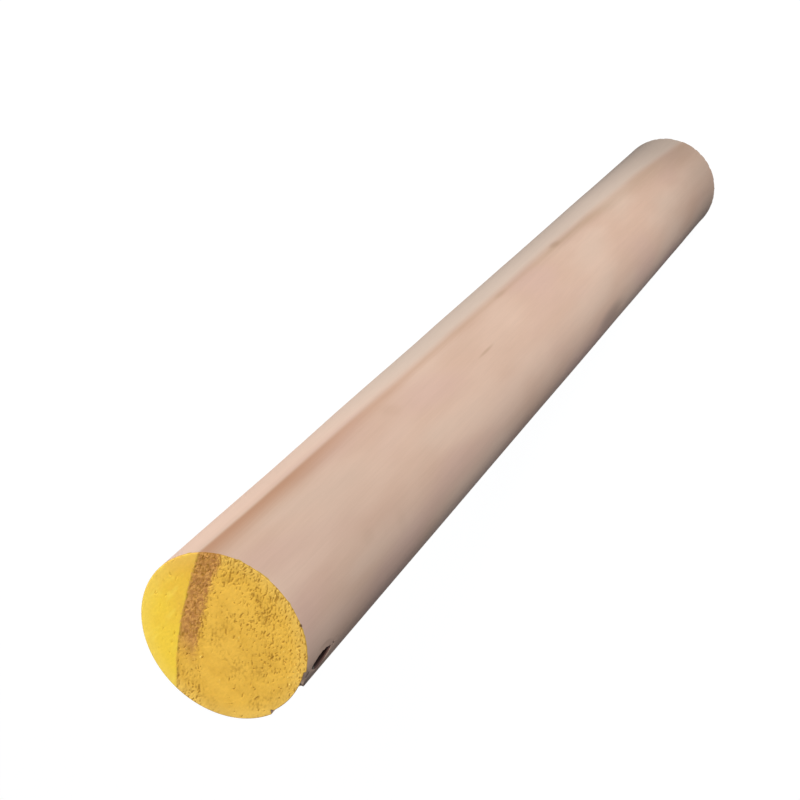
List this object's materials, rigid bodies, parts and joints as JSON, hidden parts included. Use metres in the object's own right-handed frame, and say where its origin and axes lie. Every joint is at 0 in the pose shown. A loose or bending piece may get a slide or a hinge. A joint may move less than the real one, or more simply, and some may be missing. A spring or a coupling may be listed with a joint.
{
  "type": "wooden dowel rod",
  "caption": "Round turned wooden dowel with square sawn ends, one end painted, a bark pocket in the side.",
  "frame": {"origin": "centre of the bare end, which the rod stands on", "axes": "+Z along the rod towards the painted end, +X to the lit side, +Y away from the side that the camera sees"},
  "size_m": [0.0318, 0.0318, 0.3048],
  "materials": {
    "dowel": "planed hardwood, bare, with one painted end"
  },
  "bodies": {
    "root": {"dowel_rod": "dowel"}
  },
  "joints": []
}
